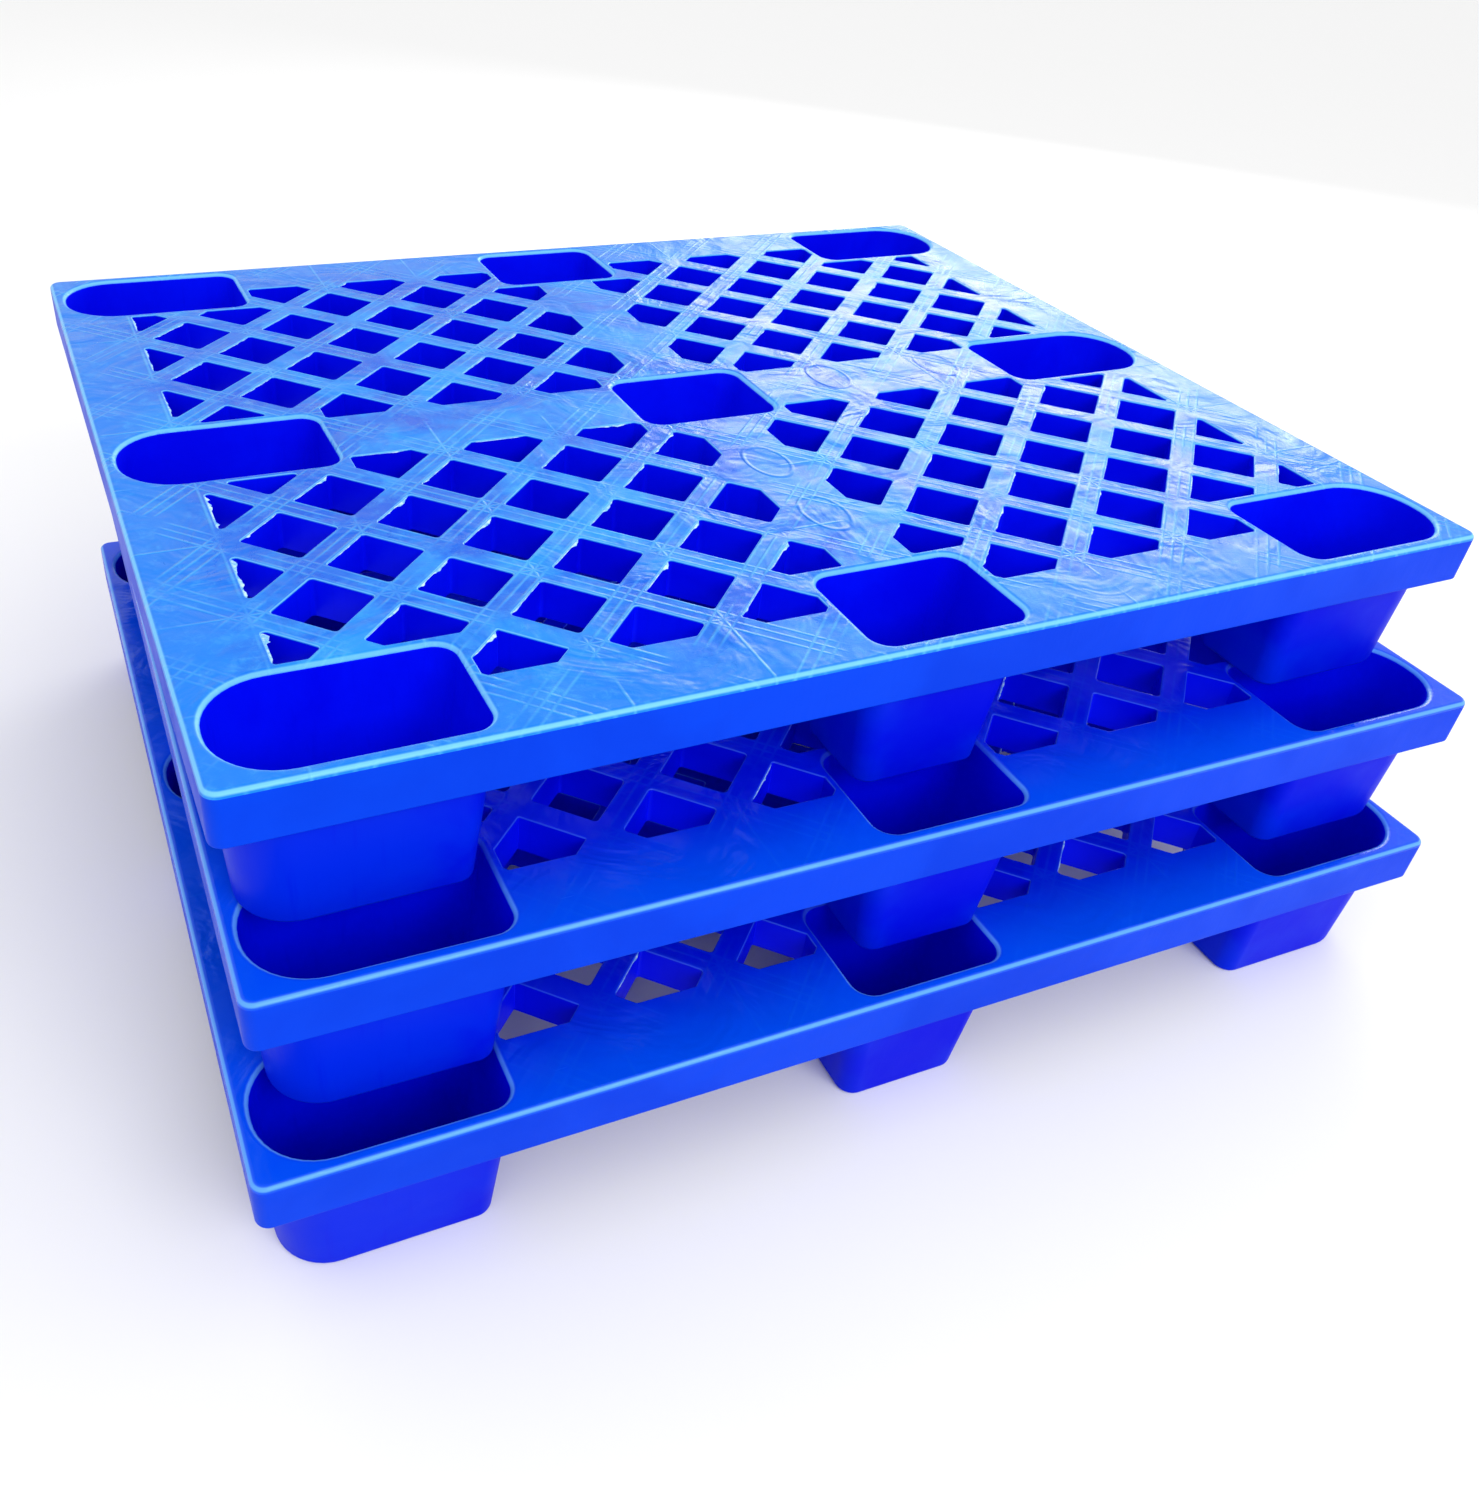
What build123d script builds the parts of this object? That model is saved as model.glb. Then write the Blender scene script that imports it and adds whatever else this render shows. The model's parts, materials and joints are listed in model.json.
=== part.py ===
from build123d import *
import os

# A stack of three identical nestable plastic pallets, each one injection moulding.
# Every pallet is written as named regions of its moulding: nine leg cups, four open grids,
# four edge bands and two webs. Neighbouring regions meet on vertical planes and never overlap.
# Frame: origin under the middle foot of the bottom pallet, on the floor.
# +X runs along the long side, +Y from the front edge to the back, +Z up. Millimetres.

# one pallet
LENGTH = 1200.0
WIDTH = 1000.0
HEIGHT = 150.0
PLATE = 4.0
SKIRT_HEIGHT = 48.0
SKIRT_WALL = 6.0
CORNER_RADIUS = 18.0
LIP_RADIUS = 5.0
SKIRT_FOOT_RADIUS = 1.5

# diagonal grid
HALF_PITCH = 58.8
HOLE_SIDE = 59.6
HOLE_CORNER_RADIUS = 3.5
CORNER_SHARE = 0.18
HOLE_WALL = 3.0
RIB_DEPTH = 36.0
CROSS_RIB_STEPS = (3, 5)
BAND_X = 75.0
BAND_Y = 74.0
WEB_HALF_X = 36.0
WEB_HALF_Y = 45.0
SMALLEST_HOLE_AREA = 250.0

# leg cups, measured at the deck
SIDE_CUP_LENGTH = 196.0
SIDE_CUP_EDGE = 12.0
MIDDLE_CUP_LENGTH = 152.0
CUP_WIDTH = 114.0
FRONT_CUP_EDGE = 13.0
CUP_END_RADIUS = 54.0
CUP_CORNER_RADIUS = 19.0
CUP_WALL = 3.4
CUP_FLOOR = 4.0
TILE_MARGIN = 8.0
TAPER_OUTER = 9.0
TAPER_INNER = 17.0
FOOT_END_RADIUS = 42.0
HALF_ROUND_MARGIN = 1.0
FOOT_CORNER_RADIUS = 13.0
CUP_LIP_RADIUS = 5.0
FOOT_EDGE_RADIUS = 4.0

# the stack: a gap under each upper pallet's feet, and how far each pallet was set off
REST_GAP = 0.2
PALLETS = {
    "bottom": (0.0, 0.0, 0.0),
    "middle": (15.0, 38.0, -0.2),
    "top": (6.0, 96.0, 0.8),
}

DECK_Z = HEIGHT - PLATE
RIB_Z = HEIGHT - RIB_DEPTH
X_EDGE = LENGTH / 2
Y_EDGE = WIDTH / 2
CUP_X_INNER = X_EDGE - SIDE_CUP_EDGE - SIDE_CUP_LENGTH
CUP_Y_INNER = Y_EDGE - FRONT_CUP_EDGE - CUP_WIDTH
TILE_X_SIDE = CUP_X_INNER - TILE_MARGIN
TILE_X_MIDDLE = MIDDLE_CUP_LENGTH / 2 + TILE_MARGIN
TILE_Y_SIDE = CUP_Y_INNER - TILE_MARGIN
TILE_Y_MIDDLE = CUP_WIDTH / 2 + TILE_MARGIN
COLUMNS = {"left": -1, "centre": 0, "right": 1}
ROWS = {"front": -1, "middle": 0, "back": 1}


def box_between(x0, x1, y0, y1, z0, z1):
    """A plain box from its two corners."""
    centre = Pos((x0 + x1) / 2, (y0 + y1) / 2, (z0 + z1) / 2)
    return centre * Box(x1 - x0, y1 - y0, z1 - z0)


def span(inner, outer, sign):
    """The interval from inner to outer on the side that sign says, or across zero."""
    if sign == 0:
        return (-inner, inner)
    return (inner, outer) if sign > 0 else (-outer, -inner)


def cup_tile(column, row):
    """Plan rectangle of the deck region that holds one leg cup."""
    x0, x1 = span(TILE_X_SIDE if column else TILE_X_MIDDLE, X_EDGE, column)
    y0, y1 = span(TILE_Y_SIDE if row else TILE_Y_MIDDLE, Y_EDGE, row)
    return (x0, x1, y0, y1)


def plan_rectangle(x0, x1, y0, y1):
    return Pos((x0 + x1) / 2, (y0 + y1) / 2) * Rectangle(x1 - x0, y1 - y0)


def rounded_rectangle(length, width, radius):
    return RectangleRounded(length, width, radius)


def slab():
    """The deck plate with its skirt all round: a shallow tray, open below."""
    outer = rounded_rectangle(LENGTH, WIDTH, CORNER_RADIUS)
    inner = rounded_rectangle(
        LENGTH - 2 * SKIRT_WALL, WIDTH - 2 * SKIRT_WALL, CORNER_RADIUS - SKIRT_WALL
    )
    tray = Pos(0, 0, HEIGHT - SKIRT_HEIGHT) * extrude(outer, SKIRT_HEIGHT)
    tray -= Pos(0, 0, HEIGHT - SKIRT_HEIGHT) * extrude(inner, SKIRT_HEIGHT - PLATE)
    top_edges = tray.edges().group_by(Axis.Z)[-1]
    tray = fillet(top_edges, LIP_RADIUS)
    foot_edges = tray.faces().sort_by(Axis.Z)[0].outer_wire().edges()
    return fillet(foot_edges, SKIRT_FOOT_RADIUS)


def hole_outlines():
    """Plan outlines of the grid's holes: squares on their corners, cut off at bands, webs and cups."""
    whole = Rectangle(HOLE_SIDE, HOLE_SIDE, rotation=45)
    outlines = []
    for sx in (-1, 1):
        for sy in (-1, 1):
            x0, x1 = span(WEB_HALF_X, X_EDGE - BAND_X, sx)
            y0, y1 = span(WEB_HALF_Y, Y_EDGE - BAND_Y, sy)
            window = plan_rectangle(x0, x1, y0, y1)
            for column in COLUMNS.values():
                for row in ROWS.values():
                    window -= plan_rectangle(*cup_tile(column, row))
            for i in range(1, 10):
                for j in range(1, 8):
                    if (i + j) % 2 == 1:
                        centre = Pos(sx * i * HALF_PITCH, sy * j * HALF_PITCH)
                        outlines += hole_pieces(centre * whole, window)
    return outlines


def hole_pieces(square, window):
    """The part of one square inside the window, with its corners rounded as far as its sides allow."""
    pieces = []
    for face in (square & window).faces():
        if face.area > SMALLEST_HOLE_AREA:
            shortest = min(edge.length for edge in face.edges())
            radius = min(HOLE_CORNER_RADIUS, shortest * CORNER_SHARE)
            pieces.append(fillet(face.vertices(), radius).face())
    return pieces


def hole_cutter(outline):
    """A straight hole through the plate and everything under it."""
    return (Pos(0, 0, RIB_Z - 1) * extrude(outline, RIB_DEPTH + 2)).solid()


def hole_wall(outline):
    """A block a wall's thickness larger than one hole, which leaves the hole's wall once it is cut."""
    wide = offset(outline, HOLE_WALL, kind=Kind.ARC).face()
    return (Pos(0, 0, RIB_Z) * extrude(wide, DECK_Z - RIB_Z)).solid()


def stiffening_ribs():
    """Thin ribs under the solid stretches of the deck: one along each, and short ones across it."""
    half = HOLE_WALL / 2
    ribs = []
    for sx in (-1, 1):
        for sy in (-1, 1):
            band_y = sy * (Y_EDGE - BAND_Y / 2)
            band_x = sx * (X_EDGE - BAND_X / 2)
            along_x = span(TILE_X_MIDDLE, TILE_X_SIDE, sx)
            along_y = span(TILE_Y_MIDDLE, TILE_Y_SIDE, sy)
            ribs.append(box_between(*along_x, band_y - half, band_y + half, RIB_Z, DECK_Z))
            ribs.append(box_between(band_x - half, band_x + half, *along_y, RIB_Z, DECK_Z))
            for step in CROSS_RIB_STEPS:
                x = sx * step * HALF_PITCH
                y = sy * step * HALF_PITCH
                across_y = span(Y_EDGE - BAND_Y + HOLE_WALL, Y_EDGE - SKIRT_WALL, sy)
                across_x = span(X_EDGE - BAND_X + HOLE_WALL, X_EDGE - SKIRT_WALL, sx)
                ribs.append(box_between(x - half, x + half, *across_y, RIB_Z, DECK_Z))
                ribs.append(box_between(*across_x, y - half, y + half, RIB_Z, DECK_Z))
    for sign in (-1, 1):
        along_x = span(TILE_X_MIDDLE, TILE_X_SIDE, sign)
        along_y = span(TILE_Y_MIDDLE, TILE_Y_SIDE, sign)
        ribs.append(box_between(*along_x, -half, half, RIB_Z, DECK_Z))
        ribs.append(box_between(-half, half, *along_y, RIB_Z, DECK_Z))
    return [rib.solid() for rib in ribs]


def pierced_deck(tray):
    """The tray with hanging hole walls and ribs below the plate, and the holes cut through."""
    outlines = hole_outlines()
    hanging = [hole_wall(outline) for outline in outlines] + stiffening_ribs()
    deck = tray.solid().fuse(*hanging)
    return deck.cut(*[hole_cutter(outline) for outline in outlines])


def cup_outline(length, width, end_radius, corner_radius):
    """Plan outline of a cup with its rounded end towards -X. Middle cups have four equal corners."""
    outline = Rectangle(length, width)
    ends = outline.vertices().group_by(Axis.X)
    outline = fillet(ends[0], end_radius)
    ends = outline.vertices().sort_by(Axis.X)[-2:]
    return fillet(ends, corner_radius)


def cup_body(column, row, inset, z0, z1, radius_shift):
    """A tapered block between two heights: the cup's inner space, or its outside with a negative inset."""
    sections = []
    for z in (z0, z1):
        share = (HEIGHT - z) / HEIGHT
        outer_x = (TAPER_OUTER if column else TAPER_INNER) * share + inset
        inner_x = TAPER_INNER * share + inset
        outer_y = (TAPER_OUTER if row else TAPER_INNER) * share + inset
        inner_y = TAPER_INNER * share + inset
        length = (SIDE_CUP_LENGTH if column else MIDDLE_CUP_LENGTH) - outer_x - inner_x
        width = CUP_WIDTH - outer_y - inner_y
        corner = CUP_CORNER_RADIUS + (FOOT_CORNER_RADIUS - CUP_CORNER_RADIUS) * share
        end = CUP_END_RADIUS + (FOOT_END_RADIUS - CUP_END_RADIUS) * share
        corner -= radius_shift
        end = min(end - radius_shift, width / 2 - HALF_ROUND_MARGIN) if column else corner
        outline = cup_outline(length, width, end, corner)
        shift_x = (outer_x - inner_x) / 2
        shift_y = (outer_y - inner_y) / 2
        sections.append(Pos(shift_x, -row * shift_y, z) * outline)
    block = loft(sections, ruled=True)
    if column > 0:
        block = mirror(block, about=Plane.YZ)
    return Pos(*cup_centre(column, row)) * block


def cup_centre(column, row):
    """Middle of a cup's mouth in plan."""
    x = X_EDGE - SIDE_CUP_EDGE - SIDE_CUP_LENGTH / 2
    y = Y_EDGE - FRONT_CUP_EDGE - CUP_WIDTH / 2
    return (column * x, row * y)


def leg_cup(tray, column, row):
    """One hollow leg with the stretch of deck and skirt round its mouth."""
    x0, x1, y0, y1 = cup_tile(column, row)
    tile = tray & box_between(x0, x1, y0, y1, 0, HEIGHT)
    outside = cup_body(column, row, -CUP_WALL, 0, DECK_Z + PLATE / 2, -CUP_WALL)
    outside = fillet(outside.faces().sort_by(Axis.Z)[0].edges(), FOOT_EDGE_RADIUS)
    inside = cup_body(column, row, 0, CUP_FLOOR, HEIGHT, 0)
    shell = tile + outside - inside
    return round_lip(shell, column, row)


def round_lip(shell, column, row):
    """Rounds the edge where the deck turns down into the cup."""
    centre_x, centre_y = cup_centre(column, row)
    reach_x = (SIDE_CUP_LENGTH if column else MIDDLE_CUP_LENGTH) / 2 + 1
    reach_y = CUP_WIDTH / 2 + 1
    lip = []
    for edge in shell.edges().group_by(Axis.Z)[-1]:
        middle = edge.center()
        if abs(middle.X - centre_x) < reach_x and abs(middle.Y - centre_y) < reach_y:
            lip.append(edge)
    return fillet(lip, CUP_LIP_RADIUS)


def regions():
    """Plan rectangles of the deck's other regions, by name."""
    side_x = (TILE_X_SIDE, X_EDGE)
    side_y = (TILE_Y_SIDE, Y_EDGE)
    gap_x = (TILE_X_MIDDLE, TILE_X_SIDE)
    gap_y = (TILE_Y_MIDDLE, TILE_Y_SIDE)
    named = {}
    for row_name, row in (("front", -1), ("back", 1)):
        named["band_" + row_name] = [span(*gap_x, s) + span(*side_y, row) for s in (-1, 1)]
        for column_name, column in (("left", -1), ("right", 1)):
            named["grid_" + row_name + "_" + column_name] = [span(*gap_x, column) + span(*gap_y, row)]
    for column_name, column in (("left", -1), ("right", 1)):
        named["band_" + column_name] = [span(*side_x, column) + span(*gap_y, s) for s in (-1, 1)]
    middle_x = (-TILE_X_MIDDLE, TILE_X_MIDDLE)
    middle_y = (-TILE_Y_MIDDLE, TILE_Y_MIDDLE)
    named["web_lengthwise"] = [span(*gap_x, s) + middle_y for s in (-1, 1)]
    named["web_crosswise"] = [middle_x + span(*gap_y, s) for s in (-1, 1)]
    return named


def pallet():
    """Every region of one pallet, by name, with the pallet's middle foot at the origin."""
    tray = slab()
    deck = pierced_deck(tray)
    nodes = {}
    for name, rectangles in regions().items():
        pieces = [deck & box_between(*plan, 0, HEIGHT) for plan in rectangles]
        nodes[name] = [piece.solid() for piece in pieces]
    for column_name, column in COLUMNS.items():
        for row_name, row in ROWS.items():
            name = "leg_cup_" + row_name + "_" + column_name
            nodes[name] = [leg_cup(tray, column, row).solid()]
    return nodes


def main():
    os.makedirs("parts", exist_ok=True)
    nodes = pallet()
    for level, (pallet_name, (x, y, turn)) in enumerate(PALLETS.items()):
        place = Location((x, y, level * (HEIGHT + REST_GAP)), (0, 0, turn))
        for name, solids in nodes.items():
            placed = [solid.moved(place) for solid in solids]
            shape = placed[0] if len(placed) == 1 else Compound(children=placed)
            export_step(shape, "parts/" + pallet_name + "_" + name + ".step")


if __name__ == "__main__":
    main()
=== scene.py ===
import json
import math
import random

import bmesh
import bpy
from mathutils import Matrix, Vector, noise


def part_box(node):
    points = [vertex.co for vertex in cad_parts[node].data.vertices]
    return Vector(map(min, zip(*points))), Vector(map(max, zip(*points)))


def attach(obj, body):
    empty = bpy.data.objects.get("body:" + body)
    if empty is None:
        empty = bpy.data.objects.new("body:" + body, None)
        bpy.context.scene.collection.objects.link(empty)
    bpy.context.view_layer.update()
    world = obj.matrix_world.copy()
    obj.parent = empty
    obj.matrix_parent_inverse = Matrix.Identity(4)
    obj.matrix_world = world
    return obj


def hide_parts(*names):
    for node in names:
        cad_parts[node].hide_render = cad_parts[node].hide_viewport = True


# One pallet's moulding, in metres, in its own frame: the origin is under its middle foot.
LENGTH = 1.2
WIDTH = 1.0
HEIGHT = 0.15
PLATE = 0.004
SKIRT_HEIGHT = 0.048
SKIRT_WALL = 0.006
CORNER_RADIUS = 0.012
LIP_RADIUS = 0.005
SKIRT_FOOT_RADIUS = 0.0015
FLAT_MARGIN = 0.0004

# The diagonal grid: its holes lie at odd sums of column and row, half a pitch apart.
HALF_PITCH = 0.0588
GRID_COLUMNS = 9
GRID_ROWS = 7
HOLE_SIDE = 0.0596
HOLE_CORNER_RADIUS = 0.0035
CORNER_SHARE = 0.18
HOLE_LIP_RADIUS = 0.0016
HOLE_WALL = 0.003
HOLE_WALL_EDGE = 0.0008
RIB_DEPTH = 0.036
BAND_X = 0.075
BAND_Y = 0.074
WEB_HALF_X = 0.036
WEB_HALF_Y = 0.045
SMALLEST_HOLE_AREA = 0.00025
NO_AREA = 1e-9

# The nine hollow legs, which are cups from above.
SIDE_CUP_LENGTH = 0.196
SIDE_CUP_EDGE = 0.012
MIDDLE_CUP_LENGTH = 0.152
CUP_WIDTH = 0.114
FRONT_CUP_EDGE = 0.013
CUP_END_RADIUS = 0.054
CUP_CORNER_RADIUS = 0.019
CUP_WALL = 0.0034
CUP_FLOOR = 0.004
CUP_FLOOR_FILLET = 0.008
CUP_ROOT_FILLET = 0.001
TILE_MARGIN = 0.008
TAPER_OUTER = 0.009
TAPER_INNER = 0.017
FOOT_END_RADIUS = 0.042
FOOT_CORNER_RADIUS = 0.013
FOOT_EDGE_RADIUS = 0.004
HALF_ROUND_MARGIN = 0.001

# Segments of each rounded corner in plan, and of each rounded edge.
ARC_STEPS = 4
CUP_ARC_STEPS = 10
LIP_STEPS = 5
SHARP_ANGLE = math.radians(40)

# Ribs cross under the bands at these multiples of half the pitch.
CROSS_RIB_STEPS = (3, 5)

# Sink lines over the ribs: how far from a rib's middle line the outer ones run, and their width.
RIB_PITCH = HALF_PITCH * math.sqrt(2)
SINK_LINE = 0.0095
SINK_WIDTH = 0.0022

# Material slots of the mesh: the deck, the skirt, the legs and the inside, both painted a deeper blue
# as shade, and the thin flash.
DECK, SKIRT, SHADED_LEG, SHADED_INSIDE, FLASH = range(5)

# Plain oval marks on the webs.
GATE_MARKS = ((0.0, -0.165), (0.0, -0.275), (0.175, 0.010), (0.320, 0.010))
GATE_HALF_X = 0.021
GATE_HALF_Y = 0.033
GATE_LINE = 0.14

# The colour of the deck's rounded edges, partly rubbed wear and partly painted highlight, the width of
# the painted light along a deck's rim, and the tint of the plastic's reflections.
EDGE_WEAR_HIGHLIGHT_COLOUR = (0.20, 0.60, 1.0, 1)
RIM_LIGHT_WIDTH = 0.11
SHEEN_TINT = (0.45, 0.75, 1.0, 1)

# The thin skin that the mould left along some edges. Its reach is greatest at the front left.
FLASH_STEP = 0.0016
FLASH_RAGGEDNESS = 38
FLASH_LEAST = 0.18
FLASH_THICKNESS = 0.0003
FLASH_ROOT = 0.0010
SKIRT_FLASH_REACH = 0.0050
RIB_FLASH_NEAR = 0.0034
RIB_FLASH_FAR = 0.0016
BAND_FLASH_NEAR = 0.0070
BAND_FLASH_FAR = 0.0025
CUP_FLASH_NEAR = 0.0040
SHORTEST_FLASH_EDGE = 0.02
FLASH_END_SHARE = 1 / 9
FLASH_LEAST_WIDTH = 0.00015
FLASH_DROOP = 0.3
SKIRT_FLASH_OUT = Vector((-0.45, 0, -0.89))
SKIRT_FLASH_FACE = Vector((-0.89, 0, 0.45))

DECK_Z = HEIGHT - PLATE
RIB_Z = HEIGHT - RIB_DEPTH
X_EDGE = LENGTH / 2
Y_EDGE = WIDTH / 2
TILE_X_SIDE = X_EDGE - SIDE_CUP_EDGE - SIDE_CUP_LENGTH - TILE_MARGIN
TILE_X_MIDDLE = MIDDLE_CUP_LENGTH / 2 + TILE_MARGIN
TILE_Y_SIDE = Y_EDGE - FRONT_CUP_EDGE - CUP_WIDTH - TILE_MARGIN
TILE_Y_MIDDLE = CUP_WIDTH / 2 + TILE_MARGIN
SIGNS = (-1, 1)

# Each pallet's seed and the share of hole edges that carry flash.
PALLETS = {"bottom": (11, 0.25), "middle": (23, 0.35), "top": (5, 0.85)}


# ---------------------------------------------------------------- plan outlines

def span(inner, outer, sign):
    """The interval from inner to outer on the side that sign says, or across zero."""
    if sign == 0:
        return (-inner, inner)
    return (inner, outer) if sign > 0 else (-outer, -inner)


def clip(polygon, nx, ny, limit):
    """The part of a convex polygon where nx*x + ny*y <= limit."""
    kept = []
    for i, (x0, y0) in enumerate(polygon):
        x1, y1 = polygon[(i + 1) % len(polygon)]
        d0 = nx * x0 + ny * y0 - limit
        d1 = nx * x1 + ny * y1 - limit
        if d0 <= 0:
            kept.append((x0, y0))
        if (d0 < 0 < d1) or (d1 < 0 < d0):
            t = d0 / (d0 - d1)
            kept.append((x0 + t * (x1 - x0), y0 + t * (y1 - y0)))
    return kept


def area(polygon):
    """Signed area, positive for a polygon that runs counterclockwise."""
    total = 0.0
    for i, (x0, y0) in enumerate(polygon):
        x1, y1 = polygon[(i + 1) % len(polygon)]
        total += x0 * y1 - x1 * y0
    return total / 2


class Rounded:
    """A convex outline with rounded corners, which can be moved outward or inward."""

    def __init__(self, polygon, radii, steps):
        self.corners = []
        self.steps = steps
        count = len(polygon)
        for i in range(count):
            before = Vector(polygon[i - 1])
            here = Vector(polygon[i])
            after = Vector(polygon[(i + 1) % count])
            into = (here - before).normalized()
            out = (after - here).normalized()
            start = math.atan2(-into.x, into.y)
            turn = abs(into.angle_signed(out))
            radius = radii[i]
            bisector = (out - into).normalized()
            centre = here + bisector * radius / math.cos(turn / 2)
            self.corners.append((centre, radius, start, turn))

    def ring(self, outward):
        points = []
        for centre, radius, start, turn in self.corners:
            reach = radius + outward
            for k in range(self.steps + 1):
                angle = start + turn * k / self.steps
                x = centre.x + reach * math.cos(angle)
                y = centre.y + reach * math.sin(angle)
                points.append((x, y))
        return points


def rectangle(x0, x1, y0, y1):
    return [(x0, y0), (x1, y0), (x1, y1), (x0, y1)]


def hole_outlines():
    """The grid's holes: squares on their corners, cut off at bands, webs and leg cups."""
    outlines = []
    half = HOLE_SIDE / math.sqrt(2)
    for sx in SIGNS:
        for sy in SIGNS:
            for i in range(1, GRID_COLUMNS + 1):
                for j in range(1, GRID_ROWS + 1):
                    if (i + j) % 2 == 0:
                        continue
                    cx = sx * i * HALF_PITCH
                    cy = sy * j * HALF_PITCH
                    square = [(cx - half, cy), (cx, cy - half), (cx + half, cy), (cx, cy + half)]
                    polygon = cut_to_quadrant(square, sx, sy)
                    if len(polygon) > 2 and area(polygon) > SMALLEST_HOLE_AREA:
                        outlines.append(polygon)
    return outlines


def cut_to_quadrant(polygon, sx, sy):
    """Cuts one square back from the bands, the webs and the deck round the leg cups."""
    polygon = clip(polygon, sx, 0, X_EDGE - BAND_X)
    polygon = clip(polygon, -sx, 0, -WEB_HALF_X)
    polygon = clip(polygon, 0, sy, Y_EDGE - BAND_Y)
    polygon = clip(polygon, 0, -sy, -WEB_HALF_Y)
    if len(polygon) < 3:
        return polygon
    for near_x, far_x in ((TILE_X_SIDE, X_EDGE), (0.0, TILE_X_MIDDLE)):
        for near_y, far_y in ((TILE_Y_SIDE, Y_EDGE), (0.0, TILE_Y_MIDDLE)):
            polygon = cut_from_tile(polygon, sx, sy, (near_x, far_x), (near_y, far_y))
    return polygon


def cut_from_tile(polygon, sx, sy, along_x, along_y):
    """Cuts a polygon back from one cup's rectangle, on the side that leaves the most of it."""
    inside = polygon
    sides = (
        (sx, 0, along_x[1]),
        (-sx, 0, -along_x[0]),
        (0, sy, along_y[1]),
        (0, -sy, -along_y[0]),
    )
    for nx, ny, limit in sides:
        inside = clip(inside, nx, ny, limit)
        if len(inside) < 3 or area(inside) < NO_AREA:
            return polygon
    options = []
    if along_x[0] > 0:
        options.append(clip(polygon, sx, 0, along_x[0]))
    else:
        options.append(clip(polygon, -sx, 0, -along_x[1]))
    if along_y[0] > 0:
        options.append(clip(polygon, 0, sy, along_y[0]))
    else:
        options.append(clip(polygon, 0, -sy, -along_y[1]))
    options = [o for o in options if len(o) > 2]
    return max(options, key=area) if options else []


def rounded_hole(polygon):
    sides = []
    for i, point in enumerate(polygon):
        sides.append((Vector(polygon[(i + 1) % len(polygon)]) - Vector(point)).length)
    radius = min(HOLE_CORNER_RADIUS, min(sides) * CORNER_SHARE)
    return Rounded(polygon, [radius] * len(polygon), ARC_STEPS)


def cup_section(column, row, z):
    """A cup's inner outline at height z, with its outboard end rounded."""
    share = (HEIGHT - z) / HEIGHT
    outer_x = (TAPER_OUTER if column else TAPER_INNER) * share
    inner_x = TAPER_INNER * share
    outer_y = (TAPER_OUTER if row else TAPER_INNER) * share
    inner_y = TAPER_INNER * share
    length = SIDE_CUP_LENGTH if column else MIDDLE_CUP_LENGTH
    reach_x = X_EDGE - SIDE_CUP_EDGE if column else length / 2
    reach_y = Y_EDGE - FRONT_CUP_EDGE if row else CUP_WIDTH / 2
    x0 = reach_x - length + inner_x
    x1 = reach_x - outer_x
    y0 = reach_y - CUP_WIDTH + inner_y
    y1 = reach_y - outer_y
    corner = CUP_CORNER_RADIUS + (FOOT_CORNER_RADIUS - CUP_CORNER_RADIUS) * share
    end = CUP_END_RADIUS + (FOOT_END_RADIUS - CUP_END_RADIUS) * share
    end = min(end, (y1 - y0) / 2 - HALF_ROUND_MARGIN) if column else corner
    flip_x = column < 0
    flip_y = row < 0
    if flip_x:
        x0, x1 = -x1, -x0
    if flip_y:
        y0, y1 = -y1, -y0
    radii = [end, corner, corner, end] if flip_x else [corner, end, end, corner]
    return Rounded(rectangle(x0, x1, y0, y1), radii, CUP_ARC_STEPS)


# ---------------------------------------------------------------- mesh building

def add_ring(bm, points, z):
    return [bm.verts.new((x, y, z)) for x, y in points]


def bridge(bm, lower, upper, finish):
    """Quads between two rings of the same length."""
    count = len(lower)
    for i in range(count):
        j = (i + 1) % count
        face = bm.faces.new((lower[i], lower[j], upper[j], upper[i]))
        face.material_index = finish


def loft(bm, rings, finishes):
    """Joins rings in turn. finishes lists (number of strips, finish), and the last covers the rest."""
    plan = [finish for count, finish in finishes for _ in range(count)]
    for i in range(len(rings) - 1):
        bridge(bm, rings[i], rings[i + 1], plan[i] if i < len(plan) else finishes[-1][1])


def cap(bm, ring, finish):
    bm.faces.new(ring).material_index = finish


def ring_edges(bm, ring):
    edges = []
    for i, vert in enumerate(ring):
        edges.append(bm.edges.get((vert, ring[(i + 1) % len(ring)])))
    return edges


def fill_between(bm, rings, finish):
    """Fills the flat region inside the first ring and outside the others."""
    edges = []
    for ring in rings:
        edges += ring_edges(bm, ring)
    made = bmesh.ops.triangle_fill(bm, use_beauty=True, use_dissolve=False, edges=edges)
    for item in made["geom"]:
        if isinstance(item, bmesh.types.BMFace):
            item.material_index = finish


def quarter(radius, steps, start, stop):
    """(sideways, upwards) points on an arc of that radius between two angles in degrees."""
    points = []
    for k in range(steps + 1):
        angle = math.radians(start + (stop - start) * k / steps)
        points.append((radius * math.cos(angle), radius * math.sin(angle)))
    return points


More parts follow.
